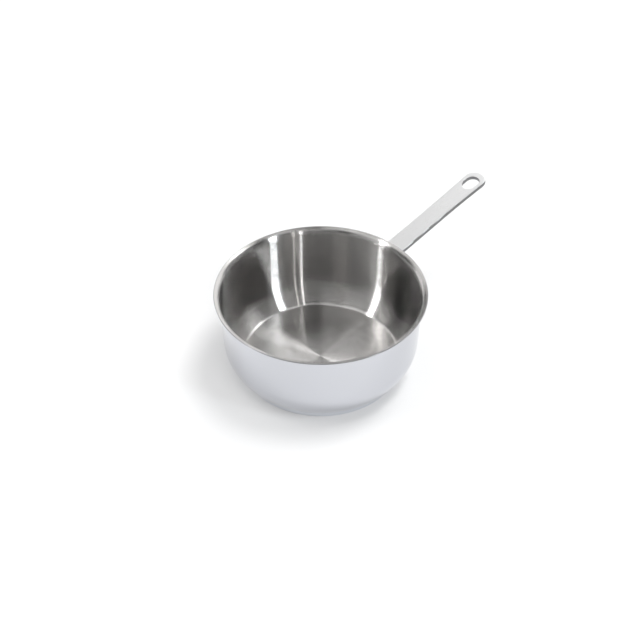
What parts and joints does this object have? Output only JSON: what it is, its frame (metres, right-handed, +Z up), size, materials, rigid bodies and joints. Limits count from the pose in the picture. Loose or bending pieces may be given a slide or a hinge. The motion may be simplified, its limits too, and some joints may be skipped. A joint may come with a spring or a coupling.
{
  "type": "saucier pan",
  "caption": "Steel saucier pan with a flared pouring lip, rounded sides, a sandwich base and one flat bar handle with a hanging slot.",
  "frame": {"origin": "centre of the flat underside of the base, on the surface that the pan stands on", "axes": "+Z up along the bowl's axis, +X along the handle from the bowl to its tip"},
  "size_m": [0.3639, 0.22, 0.1175],
  "materials": {
    "polished_steel": "mirror polished wall, floor brushed in circles",
    "core_aluminium": "bare, sealed inside the base",
    "cap_steel": "polished edge, underside brushed in circles",
    "satin_steel": "satin, brushed lengthwise",
    "weld_steel": "bare fused metal"
  },
  "bodies": {
    "root": {"pan_body": "polished_steel", "base_core": "core_aluminium", "base_cap": "cap_steel", "handle": "satin_steel", "handle_welds": "weld_steel"}
  },
  "joints": []
}
